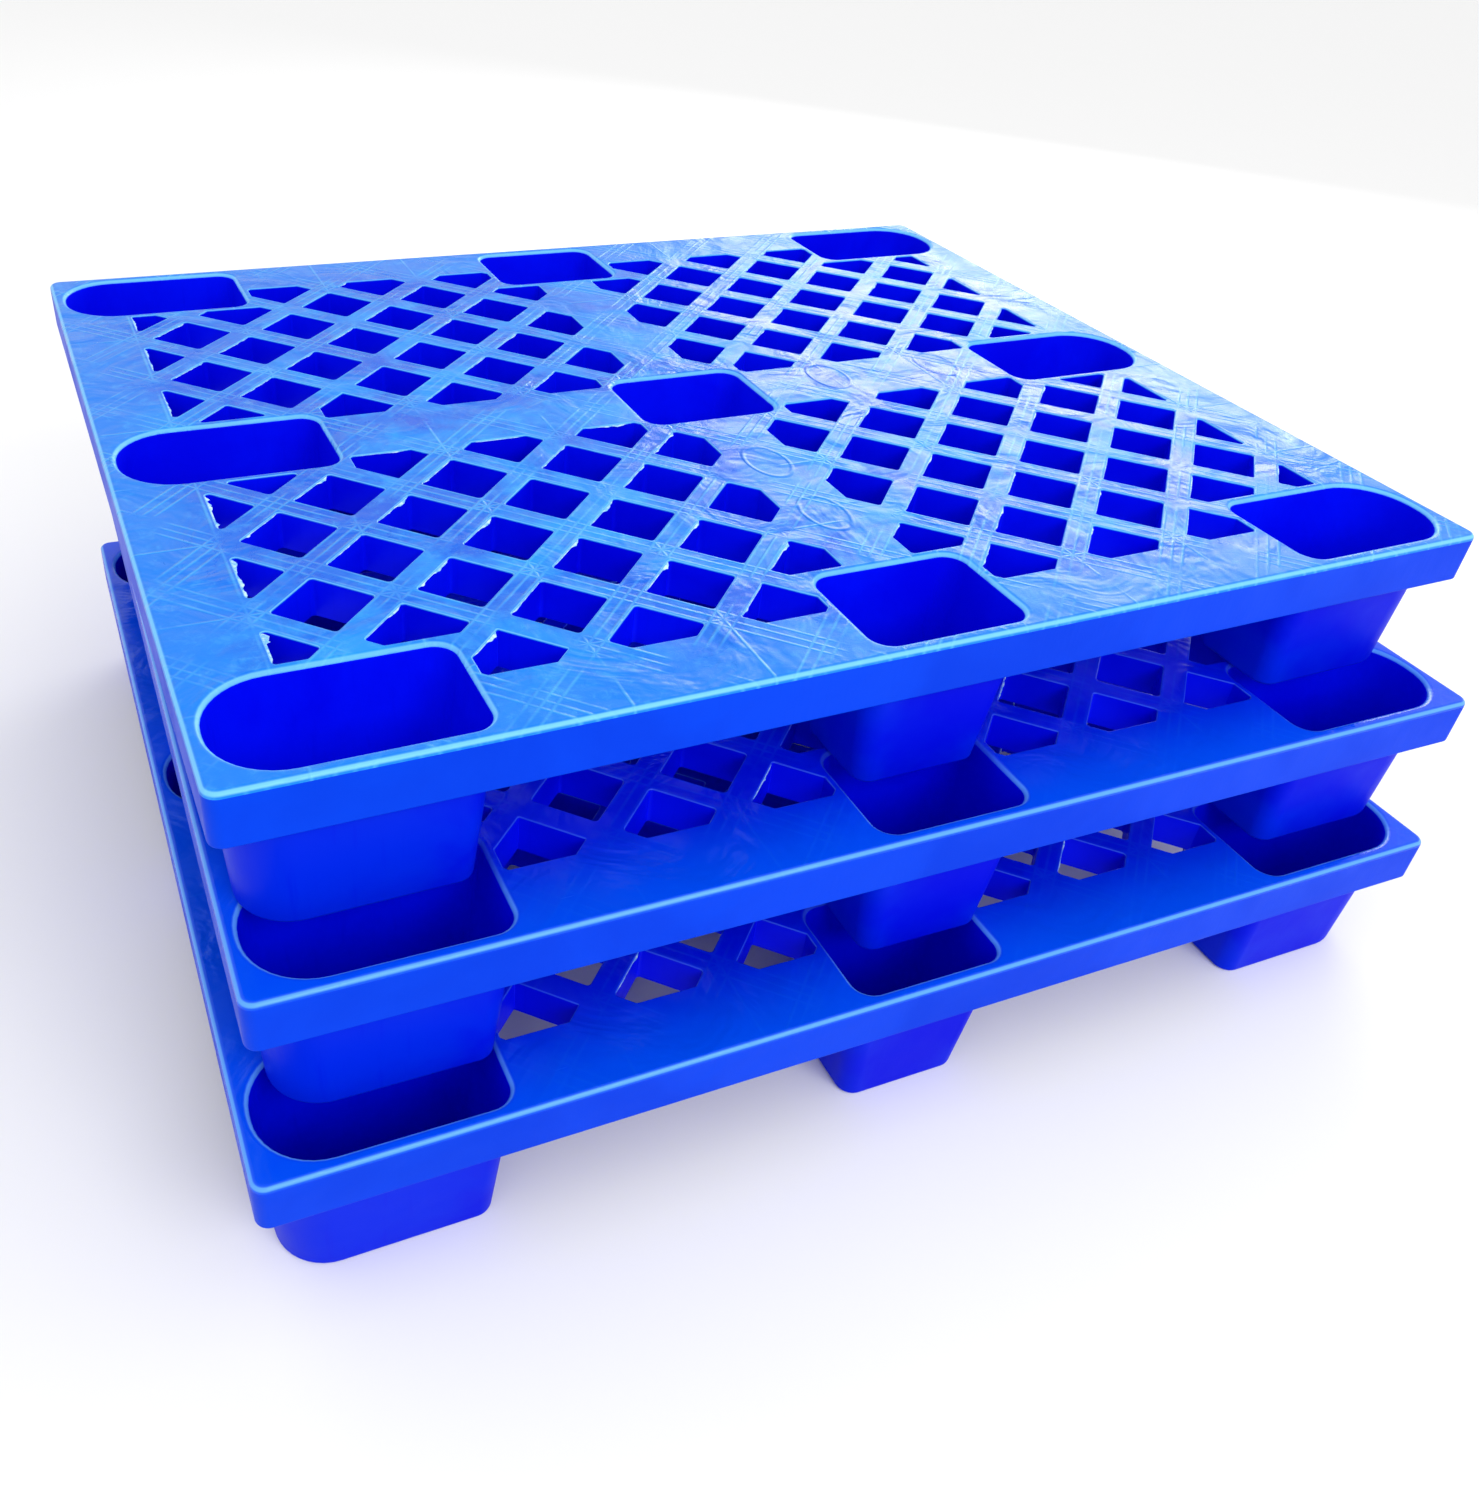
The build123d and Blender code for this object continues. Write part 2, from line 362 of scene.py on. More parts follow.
def add_hole(bm, outline):
    """One hole with rounded edges and its hanging wall. Returns its rings at deck and plate."""
    profile = []
    for side, up in quarter(HOLE_LIP_RADIUS, LIP_STEPS - 1, 90, 180):
        profile.append((HOLE_LIP_RADIUS + side, HEIGHT - HOLE_LIP_RADIUS + up))
    profile.append((0.0, RIB_Z + HOLE_WALL_EDGE))
    profile.append((HOLE_WALL_EDGE, RIB_Z))
    profile.append((HOLE_WALL - HOLE_WALL_EDGE, RIB_Z))
    profile.append((HOLE_WALL, RIB_Z + HOLE_WALL_EDGE))
    profile.append((HOLE_WALL, DECK_Z))
    rings = [add_ring(bm, outline.ring(side), z) for side, z in profile]
    loft(bm, rings, [(LIP_STEPS - 1, DECK), (1, SHADED_INSIDE)])
    return rings[0], rings[-1]


def add_cup(bm, column, row):
    """One hollow leg. Returns its rings at the deck and under the plate."""
    mouth = cup_section(column, row, HEIGHT)
    rings = [add_ring(bm, mouth.ring(LIP_RADIUS + FLAT_MARGIN), HEIGHT)]
    for side, up in quarter(LIP_RADIUS, LIP_STEPS, 90, 180):
        z = HEIGHT - LIP_RADIUS + up
        rings.append(add_ring(bm, cup_section(column, row, z).ring(LIP_RADIUS + side), z))
    knee = CUP_FLOOR + CUP_FLOOR_FILLET
    for side, up in quarter(CUP_FLOOR_FILLET, LIP_STEPS, 0, -90):
        z = knee + up
        rings.append(add_ring(bm, cup_section(column, row, z).ring(side - CUP_FLOOR_FILLET), z))
    loft(bm, rings, [(LIP_STEPS, DECK), (1, SHADED_INSIDE)])
    cap(bm, rings[-1], SHADED_INSIDE)
    root = cup_section(column, row, DECK_Z).ring(CUP_WALL + CUP_ROOT_FILLET)
    outside = [add_ring(bm, root, DECK_Z)]
    z = DECK_Z - CUP_ROOT_FILLET
    outside.append(add_ring(bm, cup_section(column, row, z).ring(CUP_WALL), z))
    for side, up in quarter(FOOT_EDGE_RADIUS, LIP_STEPS, 0, -90):
        z = FOOT_EDGE_RADIUS + up
        ring = cup_section(column, row, z).ring(CUP_WALL - FOOT_EDGE_RADIUS + side)
        outside.append(add_ring(bm, ring, z))
    loft(bm, outside, [(1, SHADED_LEG)])
    cap(bm, outside[-1], SHADED_LEG)
    return rings[0], outside[0]


def add_skirt(bm):
    """The deck's rounded edge and the skirt. Returns their rings at the deck and under the plate."""
    corners = rectangle(-X_EDGE, X_EDGE, -Y_EDGE, Y_EDGE)
    outline = Rounded(corners, [CORNER_RADIUS] * 4, CUP_ARC_STEPS)
    profile = [(-LIP_RADIUS - FLAT_MARGIN, HEIGHT)]
    for side, up in quarter(LIP_RADIUS, LIP_STEPS, 90, 0):
        profile.append((side - LIP_RADIUS, HEIGHT - LIP_RADIUS + up))
    foot = HEIGHT - SKIRT_HEIGHT
    for side, up in quarter(SKIRT_FOOT_RADIUS, LIP_STEPS - 2, 0, -90):
        profile.append((side - SKIRT_FOOT_RADIUS, foot + SKIRT_FOOT_RADIUS + up))
    profile.append((-SKIRT_WALL + SKIRT_FOOT_RADIUS, foot))
    profile.append((-SKIRT_WALL, foot + SKIRT_FOOT_RADIUS))
    profile.append((-SKIRT_WALL, DECK_Z))
    rings = [add_ring(bm, outline.ring(side), z) for side, z in profile]
    loft(bm, rings, [(1 + LIP_STEPS, DECK), (LIP_STEPS, SKIRT), (1, SHADED_INSIDE)])
    return rings[0], rings[-1]


def add_bar(bm, x0, x1, y0, y1):
    """A thin rib under the plate, let into it by a hair."""
    made = bmesh.ops.create_cube(bm, size=1.0)
    centre = Vector(((x0 + x1) / 2, (y0 + y1) / 2, (RIB_Z + DECK_Z + FLAT_MARGIN) / 2))
    size = (x1 - x0, y1 - y0, DECK_Z + FLAT_MARGIN - RIB_Z)
    bmesh.ops.scale(bm, vec=size, verts=made["verts"])
    bmesh.ops.translate(bm, vec=centre, verts=made["verts"])
    for face in {f for v in made["verts"] for f in v.link_faces}:
        face.material_index = SHADED_INSIDE


def add_under_ribs(bm):
    """Stiffening ribs under the bands and webs."""
    half = HOLE_WALL / 2
    for sx in SIGNS:
        along_x = span(TILE_X_MIDDLE, TILE_X_SIDE, sx)
        add_bar(bm, *along_x, -half, half)
        for sy in SIGNS:
            y = sy * (Y_EDGE - BAND_Y / 2)
            add_bar(bm, *along_x, y - half, y + half)
    for sy in SIGNS:
        along_y = span(TILE_Y_MIDDLE, TILE_Y_SIDE, sy)
        add_bar(bm, -half, half, *along_y)
        for sx in SIGNS:
            x = sx * (X_EDGE - BAND_X / 2)
            add_bar(bm, x - half, x + half, *along_y)
    for sx in SIGNS:
        for sy in SIGNS:
            for step in CROSS_RIB_STEPS:
                x = sx * step * HALF_PITCH
                y = sy * step * HALF_PITCH
                along_y = span(Y_EDGE - BAND_Y + HOLE_WALL, Y_EDGE - SKIRT_WALL, sy)
                along_x = span(X_EDGE - BAND_X + HOLE_WALL, X_EDGE - SKIRT_WALL, sx)
                add_bar(bm, x - half, x + half, *along_y)
                add_bar(bm, *along_x, y - half, y + half)


def add_flash(bm, start, end, out, up, reach, seed):
    """A torn fin along a straight edge, as one thin closed strip. It points out, and its face is up."""
    along = end - start
    count = max(3, int(along.length / FLASH_STEP))
    rows = []
    for i in range(count + 1):
        share = i / count
        place = Vector((share * along.length * FLASH_RAGGEDNESS, seed * 7.3, 0.0))
        ragged = max(0.0, noise.fractal(place, 0.7, 2.1, 5)) + FLASH_LEAST
        fade = min(1.0, share / FLASH_END_SHARE, (1 - share) / FLASH_END_SHARE)
        width = max(FLASH_LEAST_WIDTH, reach * ragged * fade)
        root = start + along * share - out * FLASH_ROOT
        tip = start + along * share + out * width - up * width * FLASH_DROOP
        thin = up * FLASH_THICKNESS
        rows.append([bm.verts.new(p) for p in (root, tip, tip - thin * 0.5, root - thin)])
    for a, b in zip(rows, rows[1:]):
        bridge(bm, a, b, FLASH)
    cap(bm, rows[0], FLASH)
    cap(bm, rows[-1], FLASH)


def flash_reach(side, centre, edge):
    """How far the skin reaches into a hole from one of its sides: most at the front left."""
    near = centre.x < 0 and centre.y < 0
    if side.x > 0.5 and side.y < -0.5:
        return RIB_FLASH_NEAR if near else RIB_FLASH_FAR
    if side.x > 0.9 and edge.x < BAND_X - X_EDGE + 0.01:
        return BAND_FLASH_NEAR if near else BAND_FLASH_FAR
    if near and side.y < -0.9:
        return CUP_FLASH_NEAR
    return 0.0


def add_hole_flash(bm, rng, share):
    """Torn skin on some sides of some holes."""
    up = Vector((0, 0, 1))
    for polygon in hole_outlines():
        points = [Vector((x, y, HEIGHT - HOLE_LIP_RADIUS * 0.6)) for x, y in polygon]
        centre = sum(points, Vector()) / len(points)
        for i, start in enumerate(points):
            end = points[(i + 1) % len(points)]
            side = up.cross(end - start).normalized()
            reach = flash_reach(side, centre, (start + end) / 2)
            if reach == 0.0 or rng.random() > share or (end - start).length < SHORTEST_FLASH_EDGE:
                continue
            inset = (end - start).normalized() * HOLE_CORNER_RADIUS
            reach *= rng.uniform(0.5, 1.3)
            add_flash(bm, start + inset, end - inset, side, up, reach, rng.random())


def add_skirt_flash(bm, rng):
    """Torn skin that stands out and down from the foot of the left skirt."""
    low = HEIGHT - SKIRT_HEIGHT + SKIRT_FOOT_RADIUS * 0.4
    left = SKIRT_FOOT_RADIUS - X_EDGE
    corner = Vector((left, CORNER_RADIUS - Y_EDGE, low))
    far = Vector((left, Y_EDGE / 2, low))
    add_flash(bm, corner, far, SKIRT_FLASH_OUT, SKIRT_FLASH_FACE, SKIRT_FLASH_REACH, rng.random())


def pallet_moulding():
    """The whole moulding in mesh code, closed and shared by the three pallets."""
    bm = bmesh.new()
    tops = []
    unders = []
    top, under = add_skirt(bm)
    tops.append(top)
    unders.append(under)
    for column in (-1, 0, 1):
        for row in (-1, 0, 1):
            top, under = add_cup(bm, column, row)
            tops.append(top)
            unders.append(under)
    for polygon in hole_outlines():
        top, under = add_hole(bm, rounded_hole(polygon))
        tops.append(top)
        unders.append(under)
    fill_between(bm, tops, DECK)
    fill_between(bm, unders, SHADED_INSIDE)
    add_under_ribs(bm)
    return bm


def finished_mesh(moulding, name, seed, flash_share):
    """One pallet's mesh: the shared moulding with its own torn skin."""
    bm = moulding.copy()
    rng = random.Random(seed)
    add_hole_flash(bm, rng, flash_share)
    add_skirt_flash(bm, rng)
    bmesh.ops.recalc_face_normals(bm, faces=bm.faces)
    mesh = bpy.data.meshes.new(name + "_pallet_moulding")
    bm.to_mesh(mesh)
    bm.free()
    mesh.shade_smooth()
    mesh.set_sharp_from_angle(angle=SHARP_ANGLE)
    return mesh


def pallet_place(name):
    """Where one pallet stands, read from the frame: its middle foot and the line of its side cups."""
    low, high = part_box(name + "_leg_cup_middle_centre")
    left = sum(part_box(name + "_leg_cup_middle_left"), Vector()) / 2
    right = sum(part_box(name + "_leg_cup_middle_right"), Vector()) / 2
    turn = math.atan2(right.y - left.y, right.x - left.x)
    centre = Vector(((low.x + high.x) / 2, (low.y + high.y) / 2, low.z))
    return Matrix.Translation(centre) @ Matrix.Rotation(turn, 4, "Z")


def make_pallet(name, mesh, finishes):
    """One pallet on its body, in place of the CAD regions of that body."""
    piece = bpy.data.objects.new(name + "_pallet_moulding", mesh)
    bpy.context.scene.collection.objects.link(piece)
    piece.matrix_world = pallet_place(name)
    for material in finishes:
        piece.data.materials.append(material)
    weighted = piece.modifiers.new("weighted_normals", "WEIGHTED_NORMAL")
    weighted.keep_sharp = True
    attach(piece, name + "_pallet")
    body_nodes = frame["record"]["behaviour"]["bodies"][name + "_pallet"]
    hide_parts(*body_nodes)


# ---------------------------------------------------------------- materials

class Graph:
    """Helpers for one material's nodes. An input takes a number, a tuple or a node's output."""

    def __init__(self, name):
        self.material = bpy.data.materials.new(name)
        self.material.use_nodes = True
        self.tree = self.material.node_tree
        self.shader = self.tree.nodes["Principled BSDF"]

    def put(self, socket, value):
        if isinstance(value, bpy.types.NodeSocket):
            self.tree.links.new(value, socket)
        else:
            socket.default_value = value

    def node(self, kind, **settings):
        made = self.tree.nodes.new("ShaderNode" + kind)
        for key, value in settings.items():
            setattr(made, key, value)
        return made

    def math(self, operation, a, b=0.0):
        made = self.node("Math", operation=operation)
        self.put(made.inputs[0], a)
        self.put(made.inputs[1], b)
        return made.outputs[0]

    def ramp(self, value, low, high, start=0.0, stop=1.0):
        """A value that goes smoothly from start, at low, to stop, at high."""
        made = self.node("MapRange", interpolation_type="SMOOTHSTEP")
        self.put(made.inputs["Value"], value)
        self.put(made.inputs["From Min"], low)
        self.put(made.inputs["From Max"], high)
        self.put(made.inputs["To Min"], start)
        self.put(made.inputs["To Max"], stop)
        return made.outputs["Result"]

    def blend(self, share, under, over):
        made = self.node("Mix", data_type="RGBA")
        self.put(made.inputs["Factor"], share)
        self.put(made.inputs["A"], under)
        self.put(made.inputs["B"], over)
        return [o for o in made.outputs if o.type == "RGBA"][0]

    def noise(self, place, scale, detail=4.0, roughness=0.5, distortion=0.0):
        made = self.node("TexNoise")
        self.put(made.inputs["Vector"], place)
        self.put(made.inputs["Scale"], scale)
        self.put(made.inputs["Detail"], detail)
        self.put(made.inputs["Roughness"], roughness)
        self.put(made.inputs["Distortion"], distortion)
        return made.outputs["Fac"]

    def stretched(self, place, turn, scale):
        """Coordinates turned about Z and stretched, for marks that run one way."""
        turned = self.node("Mapping", vector_type="POINT")
        self.put(turned.inputs["Vector"], place)
        turned.inputs["Rotation"].default_value = (0, 0, math.radians(turn))
        turned.inputs["Scale"].default_value = scale
        return turned.outputs["Vector"]

    def bump(self, height, distance, under=None):
        made = self.node("Bump")
        made.inputs["Distance"].default_value = distance
        self.put(made.inputs["Height"], height)
        if under is not None:
            self.put(made.inputs["Normal"], under)
        return made.outputs["Normal"]


def lattice_distance(graph, place, sign):
    """Distance in metres from the middle line of the nearest diagonal rib of one direction."""
    xyz = graph.node("SeparateXYZ")
    graph.put(xyz.inputs[0], place)
    across = graph.math("ADD", xyz.outputs["X"], graph.math("MULTIPLY", xyz.outputs["Y"], sign))
    turns = graph.math("ADD", graph.math("DIVIDE", across, 2 * HALF_PITCH), 0.5)
    offset = graph.math("ABSOLUTE", graph.math("SUBTRACT", graph.math("FRACT", turns), 0.5))
    return graph.math("MULTIPLY", offset, RIB_PITCH)


def line_at(graph, distance, where, width):
    """1 on a line at that distance, and 0 beyond its width."""
    away = graph.math("ABSOLUTE", graph.math("SUBTRACT", distance, where))
    return graph.ramp(away, 0.0, width, 1.0, 0.0)


def scratches(graph, place):
    """A few fine straight marks in two directions, broken up by a wider noise."""
    total = None
    for turn, scale in ((24, 26), (-52, 34)):
        marks = graph.noise(graph.stretched(place, turn, (1.6, scale, 1.0)), 3.0, 2.0, 0.55, 0.25)
        sharp = graph.ramp(marks, 0.66, 0.78)
        total = sharp if total is None else graph.math("MAXIMUM", total, sharp)
    patches = graph.ramp(graph.noise(place, 7.0, 3.0), 0.46, 0.66)
    return graph.math("MULTIPLY", total, patches)


def star_lines(graph, place):
    """Faint sink lines where the ribs cross under the plate: along, across and both diagonals."""
    xyz = graph.node("SeparateXYZ")
    graph.put(xyz.inputs[0], place)
    lines = None
    for axis in ("X", "Y"):
        shifted = graph.math("ADD", xyz.outputs[axis], HALF_PITCH)
        turns = graph.math("DIVIDE", shifted, 2 * HALF_PITCH)
        offset = graph.math("ABSOLUTE", graph.math("SUBTRACT", graph.math("FRACT", turns), 0.5))
        away = graph.math("MULTIPLY", graph.math("SUBTRACT", 0.5, offset), 2 * HALF_PITCH)
        line = line_at(graph, away, 0.0, SINK_WIDTH)
        lines = line if lines is None else graph.math("MAXIMUM", lines, line)
    for sign in (-1.0, 1.0):
        distance = lattice_distance(graph, place, sign)
        lines = graph.math("MAXIMUM", lines, line_at(graph, distance, 0.0, SINK_WIDTH))
        lines = graph.math("MAXIMUM", lines, line_at(graph, distance, SINK_LINE, SINK_WIDTH))
    broken = graph.ramp(graph.noise(place, 14.0, 4.0), 0.38, 0.60)
    return graph.math("MULTIPLY", lines, broken)


def gate_marks(graph, place):
    """Shallow plain ovals on the webs, where the plastic entered the mould."""
    marks = None
    for centre in GATE_MARKS:
        moved = graph.node("Mapping", vector_type="POINT")
        graph.put(moved.inputs["Vector"], place)
        moved.inputs["Location"].default_value = (-centre[0], -centre[1], 0)
        flat = graph.node("VectorMath", operation="MULTIPLY")
        graph.put(flat.inputs[0], moved.outputs["Vector"])
        flat.inputs[1].default_value = (1 / GATE_HALF_X, 1 / GATE_HALF_Y, 0)
        reach = graph.node("VectorMath", operation="LENGTH")
        graph.put(reach.inputs[0], flat.outputs["Vector"])
        ring = line_at(graph, reach.outputs["Value"], 1.0, GATE_LINE)
        marks = ring if marks is None else graph.math("MAXIMUM", marks, ring)
    return marks


def rim_light_share(graph, place):
    """1 at the deck's outer edge and 0 further in than the bands: the share of painted light along the
    rim.
    """
    xyz = graph.node("SeparateXYZ")
    graph.put(xyz.inputs[0], place)
    along = graph.math("SUBTRACT", graph.math("ABSOLUTE", xyz.outputs["X"]), X_EDGE)
    across = graph.math("SUBTRACT", graph.math("ABSOLUTE", xyz.outputs["Y"]), Y_EDGE)
    return graph.ramp(graph.math("MAXIMUM", along, across), -RIM_LIGHT_WIDTH, 0.0)


def deck_plastic(name, body, worn, pale, rim_light_colour, wear, edge_wear_and_highlight, rough, specular):
    """The walked-on face: mottled, scuffed, with sink lines over the ribs, rounded edges paler with
    wear and painted highlight, and painted light along the rim.
    """
    graph = Graph(name)
    place = graph.node("TexCoord").outputs["Object"]
    waves = graph.noise(place, 11.0, 3.0, 0.5, 1.4)
    clouds = graph.noise(place, 8.0, 9.0, 0.64, 0.6)
    grain = graph.noise(place, 70.0, 6.0, 0.7, 0.5)
    marks = scratches(graph, place)
    lines = star_lines(graph, place)
    level = graph.node("SeparateXYZ")
    graph.put(level.inputs[0], graph.node("NewGeometry").outputs["Normal"])
    # The rounded lips, tilted between flat and steep, take the edge colour: partly rubbed wear, partly
    # a painted highlight where they catch the light.
    edge = graph.ramp(level.outputs["Z"], 0.985, 0.85)
    edge = graph.math("MULTIPLY", edge, graph.ramp(level.outputs["Z"], 0.25, 0.60))

    # Painted light: near the outer edge the deck's colour moves to the rim colour, paler on the covered
    # decks, standing in for light that reaches in from the open side.
    painted_rim_light = rim_light_share(graph, place)
    colour = graph.blend(graph.ramp(clouds, 0.36, 0.66), body, worn)
    colour = graph.blend(painted_rim_light, colour, rim_light_colour)
    dusty = graph.ramp(grain, 0.48, 0.78)
    colour = graph.blend(graph.math("MULTIPLY", dusty, 0.30 * wear), colour, pale)
    colour = graph.blend(graph.math("MULTIPLY", marks, 0.10 * wear), colour, pale)
    colour = graph.blend(graph.math("MULTIPLY", lines, 0.38 * wear), colour, pale)
    # The edge colour is weaker away from the rim; on the covered decks this fall-off is painted shade
    # under the pallet above.
    rubbed_and_lit_edge = graph.ramp(painted_rim_light, 0.0, 1.0, edge_wear_and_highlight[0], edge_wear_and_highlight[1])
    colour = graph.blend(graph.math("MULTIPLY", edge, rubbed_and_lit_edge), colour, EDGE_WEAR_HIGHLIGHT_COLOUR)
    graph.put(graph.shader.inputs["Base Color"], colour)

    dull = graph.ramp(clouds, 0.3, 0.7, rough[0], rough[1])
    dull = graph.math("ADD", dull, graph.math("MULTIPLY", marks, 0.12))
    graph.put(graph.shader.inputs["Roughness"], dull)
    graph.shader.inputs["Specular IOR Level"].default_value = specular
    graph.shader.inputs["Specular Tint"].default_value = SHEEN_TINT
    normal = graph.bump(waves, 0.003 + 0.003 * wear)
    normal = graph.bump(grain, 0.0004 * wear, normal)
    normal = graph.bump(lines, 0.0005 * wear, normal)
    normal = graph.bump(gate_marks(graph, place), 0.0006, normal)
    graph.put(graph.shader.inputs["Normal"], normal)
    return graph.material


def wall_plastic(name, body, shade, specular):
    """Moulded faces that nothing rubs: soft flow clouds, faint draw lines and a light grain."""
    graph = Graph(name)
    place = graph.node("TexCoord").outputs["Object"]
    clouds = graph.noise(place, 7.0, 5.0, 0.55, 0.3)
    draw = graph.noise(graph.stretched(place, 0, (1.0, 1.0, 0.04)), 240.0, 2.0)
    grain = graph.noise(place, 420.0, 3.0, 0.6)
    colour = graph.blend(graph.ramp(clouds, 0.35, 0.68), body, shade)
    colour = graph.blend(graph.ramp(draw, 0.55, 0.80, 0.0, 0.25), colour, shade)
    graph.put(graph.shader.inputs["Base Color"], colour)
    graph.put(graph.shader.inputs["Roughness"], graph.ramp(clouds, 0.3, 0.7, 0.34, 0.48))
    graph.shader.inputs["Specular IOR Level"].default_value = specular
    graph.shader.inputs["Specular Tint"].default_value = SHEEN_TINT
    normal = graph.bump(graph.noise(place, 14.0, 2.0), 0.0015)
    normal = graph.bump(draw, 0.00008, normal)
    normal = graph.bump(grain, 0.00006, normal)
    graph.put(graph.shader.inputs["Normal"], normal)
    return graph.material


def flash_plastic(name):
    """The thin torn skin left along some edges, stretched nearly white."""
    graph = Graph(name)
    place = graph.node("TexCoord").outputs["Object"]
    torn = graph.noise(place, 180.0, 5.0, 0.6)
    colour = graph.blend(graph.ramp(torn, 0.35, 0.65), (0.10, 0.42, 0.95, 1), (0.55, 0.80, 1.0, 1))
    graph.put(graph.shader.inputs["Base Color"], colour)
    graph.put(graph.shader.inputs["Roughness"], graph.ramp(torn, 0.3, 0.7, 0.35, 0.6))
    graph.put(graph.shader.inputs["Normal"], graph.bump(torn, 0.0003))
    return graph.material


def make_materials():
    """Each pallet's five finishes. The legs and the inside are deeper, greenless copies of the blue
    that paint shade. The lower decks are cleaner, because they are covered, and the light along their
    rims is painted.
    """
    skirt = wall_plastic("blue_skirt", (0.0, 0.050, 0.71, 1), (0.0, 0.040, 0.64, 1), 0.06)
    # The legs' blue is deeper than the skirt's: painted shade under the skirt.
    leg = wall_plastic("blue_leg_painted_shade", (0.0, 0.018, 0.68, 1), (0.0, 0.002, 0.64, 1), 0.05)
    # The inside's blue has no green, like the blue in shadow: painted shade in the cups, the holes and
    # under the plate.
    inside = wall_plastic("blue_inside_painted_shade", (0.0, 0.004, 0.86, 1), (0.0, 0.0, 0.74, 1), 0.06)
    torn = flash_plastic("blue_flash")
    worn = deck_plastic(
        "blue_deck_worn", body=(0.0, 0.098, 0.68, 1), worn=(0.006, 0.270, 0.84, 1),
        pale=(0.12, 0.56, 0.94, 1), rim_light_colour=(0.004, 0.190, 0.78, 1), wear=1.0, edge_wear_and_highlight=(0.65, 0.80),
        rough=(0.24, 0.42), specular=0.30,
    )
    # The covered decks' rim colour is paler than their body: painted light along the open edge.
    kept = deck_plastic(
        "blue_deck_kept", body=(0.0, 0.005, 0.72, 1), worn=(0.0, 0.010, 0.78, 1),
        pale=(0.02, 0.28, 0.92, 1), rim_light_colour=(0.0, 0.072, 0.80, 1), wear=0.12, edge_wear_and_highlight=(0.10, 0.50),
        rough=(0.14, 0.26), specular=0.32,
    )
    walls = [skirt, leg, inside, torn]
    return {"bottom": [kept] + walls, "middle": [kept] + walls, "top": [worn] + walls}


# ---------------------------------------------------------------- stage

FLOOR_SIZE = 30.0
FLOOR_COLOUR = (0.9, 0.9, 0.9, 1)
FLOOR_ROUGHNESS = 0.9
WORLD_COLOUR = (1, 1, 1, 1)
WORLD_STRENGTH = 1.0

# Each lamp's name, place, target, size and power in watts.
LAMPS = (
    ("key", (0.4, -3.2, 2.6), (0.0, 0.0, 0.3), (2.4, 1.6), 62),
    ("sheen", (2.4, 2.4, 1.4), (0.2, 0.1, 0.45), (2.2, 0.8), 38),
)

# The camera's angles in degrees, its place in metres, and its lens in frame heights.
CAMERA_AZIMUTH = -25.72
CAMERA_ELEVATION = 36.55
CAMERA_ROLL = 4.74
CAMERA_PLACE = (-0.6344, -1.1091, 1.0151)
FOCAL_IN_FRAME_HEIGHTS = 0.8941
SHIFT = (0.0832, -0.0161)
SENSOR = 36.0
CLIP_START = 0.05


def make_floor():
    bpy.ops.mesh.primitive_plane_add(size=FLOOR_SIZE)
    floor = bpy.context.object
    floor.name = "floor"
    material = bpy.data.materials.new("floor_pale")
    material.use_nodes = True
    shader = material.node_tree.nodes["Principled BSDF"]
    shader.inputs["Base Color"].default_value = FLOOR_COLOUR
    shader.inputs["Roughness"].default_value = FLOOR_ROUGHNESS
    floor.data.materials.append(material)


def make_world():
    world = bpy.data.worlds.new("studio")
    world.use_nodes = True
    background = world.node_tree.nodes["Background"]
    background.inputs["Color"].default_value = WORLD_COLOUR
    background.inputs["Strength"].default_value = WORLD_STRENGTH
    bpy.context.scene.world = world


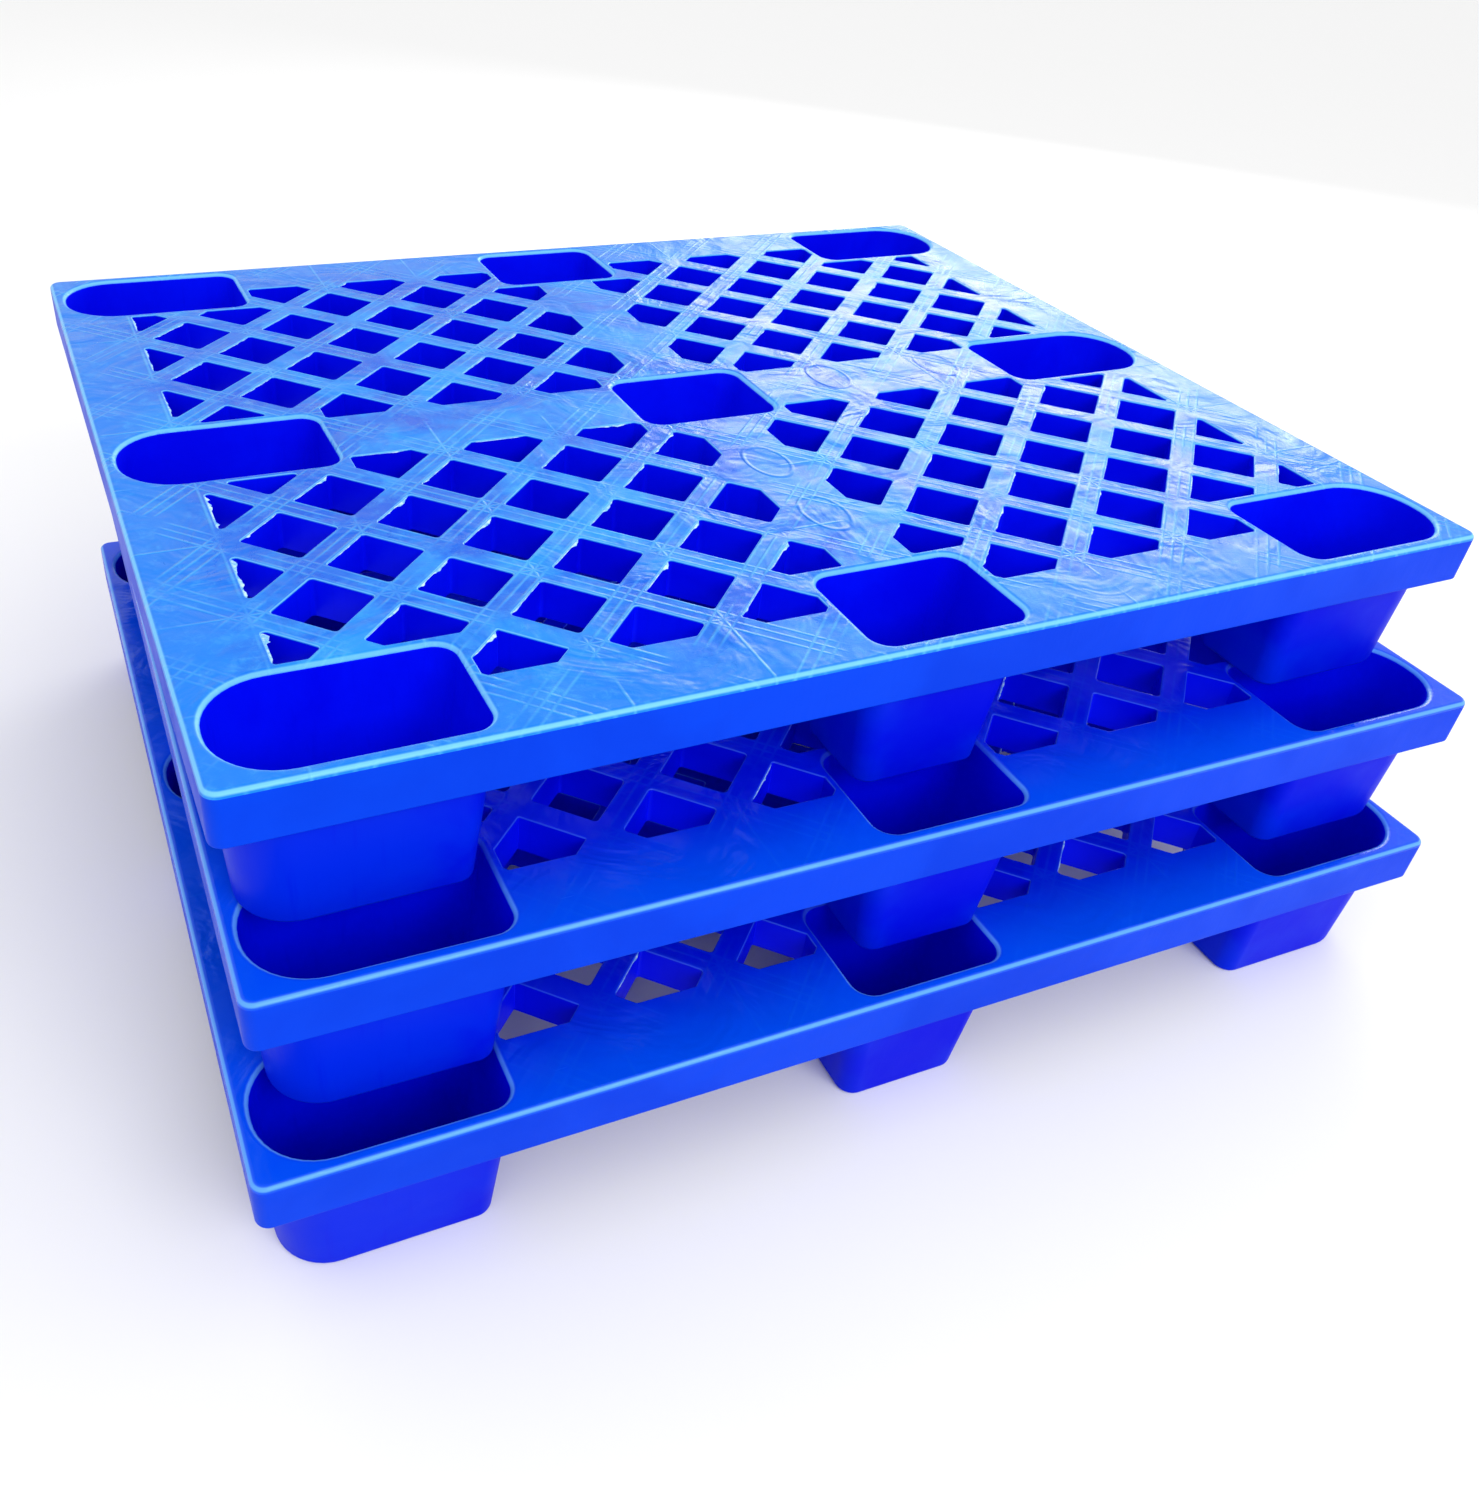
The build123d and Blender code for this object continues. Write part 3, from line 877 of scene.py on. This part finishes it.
def make_light(name, place, target, size, power):
    """A soft rectangular lamp that faces its target."""
    data = bpy.data.lights.new(name, "AREA")
    data.shape = "RECTANGLE"
    data.size, data.size_y = size
    data.energy = power
    lamp = bpy.data.objects.new(name, data)
    bpy.context.scene.collection.objects.link(lamp)
    aim = Vector(target) - Vector(place)
    turned = aim.to_track_quat("-Z", "Y").to_matrix().to_4x4()
    lamp.matrix_world = Matrix.Translation(place) @ turned


def make_camera():
    """The photograph's camera, from its angles, place, lens and shift."""
    a = math.radians(CAMERA_AZIMUTH)
    e = math.radians(CAMERA_ELEVATION)
    roll = math.radians(CAMERA_ROLL)
    forward = Vector((-math.sin(a) * math.cos(e), math.cos(a) * math.cos(e), -math.sin(e)))
    level = forward.cross(Vector((0, 0, 1))).normalized()
    upright = level.cross(forward)
    right = level * math.cos(roll) + upright * math.sin(roll)
    up = upright * math.cos(roll) - level * math.sin(roll)
    data = bpy.data.cameras.new("camera")
    data.sensor_width = SENSOR
    data.sensor_fit = "AUTO"
    data.lens = FOCAL_IN_FRAME_HEIGHTS * SENSOR
    data.shift_x, data.shift_y = SHIFT
    data.clip_start = CLIP_START
    camera = bpy.data.objects.new("camera", data)
    bpy.context.scene.collection.objects.link(camera)
    pose = Matrix((right, up, -forward)).transposed().to_4x4()
    pose.translation = CAMERA_PLACE
    camera.matrix_world = pose
    bpy.context.scene.camera = camera


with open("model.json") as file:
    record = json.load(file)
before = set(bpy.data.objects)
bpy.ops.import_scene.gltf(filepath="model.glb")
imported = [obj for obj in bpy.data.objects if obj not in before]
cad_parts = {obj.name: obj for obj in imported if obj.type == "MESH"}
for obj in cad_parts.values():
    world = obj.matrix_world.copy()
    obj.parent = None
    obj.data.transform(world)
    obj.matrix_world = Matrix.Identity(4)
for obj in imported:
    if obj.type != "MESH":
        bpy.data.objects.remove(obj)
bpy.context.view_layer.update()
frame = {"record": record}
make_camera()
make_world()
make_floor()
for lamp in LAMPS:
    make_light(*lamp)
bpy.context.scene.view_settings.view_transform = "Standard"
shared = pallet_moulding()
finishes = make_materials()
for pallet, (seed, flash_share) in PALLETS.items():
    make_pallet(pallet, finished_mesh(shared, pallet, seed, flash_share), finishes[pallet])
